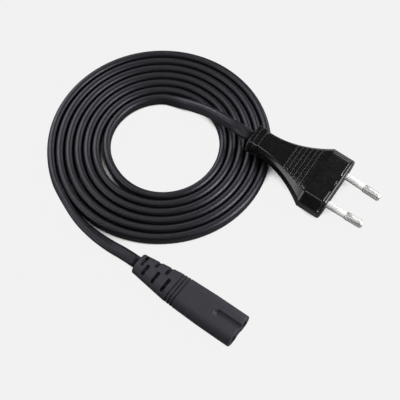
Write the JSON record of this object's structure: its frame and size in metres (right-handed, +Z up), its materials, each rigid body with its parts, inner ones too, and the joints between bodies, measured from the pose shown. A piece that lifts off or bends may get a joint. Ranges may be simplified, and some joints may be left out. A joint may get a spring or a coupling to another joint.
{
  "type": "figure-eight mains lead",
  "caption": "Mains lead with a moulded figure-eight appliance connector, a coil of flat twin cord and a flat two-pin plug with round part-sleeved pins.",
  "frame": {"origin": "on the table under the middle of the figure-eight connector, where the connector rests", "axes": "+X along the connector out of its sockets, +Z up from the table, +Y to the side where the coil and the plug lie"},
  "size_m": [0.1611, 0.1237, 0.0175],
  "materials": {
    "connector_pvc": "soft PVC moulding, finely spark-eroded, dark grey",
    "cord_pvc": "extruded soft PVC sheath, satin black",
    "plug_pvc": "soft PVC moulding, semi-gloss black",
    "carrier_plastic": "hard moulded carrier, black",
    "bridge_plastic": "hard moulded bridge, black",
    "contact_brass": "drawn brass, bright",
    "copper_strand": "bare copper strands",
    "core_brown": "brown core insulation",
    "core_blue": "blue core insulation",
    "pin_nickel": "nickel-plated brass, polished",
    "pin_sleeve_plastic": "pale smooth insulating sleeve"
  },
  "bodies": {
    "root": {"connector_housing": "connector_pvc", "contact_carrier": "carrier_plastic", "contact_sleeve_left": "contact_brass", "contact_sleeve_right": "contact_brass", "connector_wire_end_left": "copper_strand", "connector_wire_end_right": "copper_strand", "connector_core_left": "core_brown", "connector_core_right": "core_blue", "cord_tail": "cord_pvc", "cord_coil": "cord_pvc", "cord_crossing": "cord_pvc", "plug_body": "plug_pvc", "pin_bridge": "bridge_plastic", "plug_pin_left": "pin_nickel", "plug_pin_right": "pin_nickel", "pin_sleeve_left": "pin_sleeve_plastic", "pin_sleeve_right": "pin_sleeve_plastic", "plug_core_left": "core_brown", "plug_core_right": "core_blue", "plug_wire_end_left": "copper_strand", "plug_wire_end_right": "copper_strand"}
  },
  "joints": []
}
